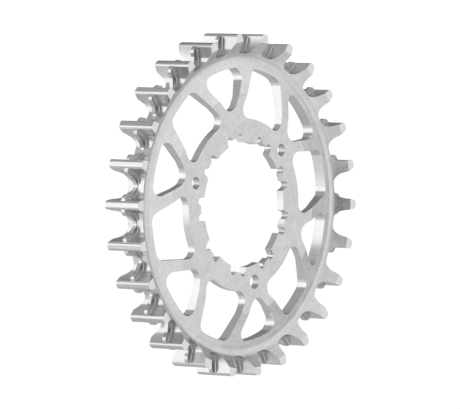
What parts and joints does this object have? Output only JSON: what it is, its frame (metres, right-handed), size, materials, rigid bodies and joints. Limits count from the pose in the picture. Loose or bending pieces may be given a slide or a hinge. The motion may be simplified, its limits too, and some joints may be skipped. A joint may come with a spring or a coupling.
{
  "type": "belt drive sprocket",
  "caption": "Toothed belt sprocket with a centre flange between its teeth, a spoked web with wide and pointed windows, and a splined bore for a rear hub.",
  "frame": {"origin": "on the sprocket's axis, level with the back ends of the teeth it lies on", "axes": "+Z along the axis towards the front face, +X through the middle of a tooth, -Y through the largest hub hole"},
  "size_m": [0.0894, 0.0888, 0.011],
  "materials": {
    "sprocket": "fine machined satin"
  },
  "bodies": {
    "root": {"sprocket": "sprocket"}
  },
  "joints": []
}
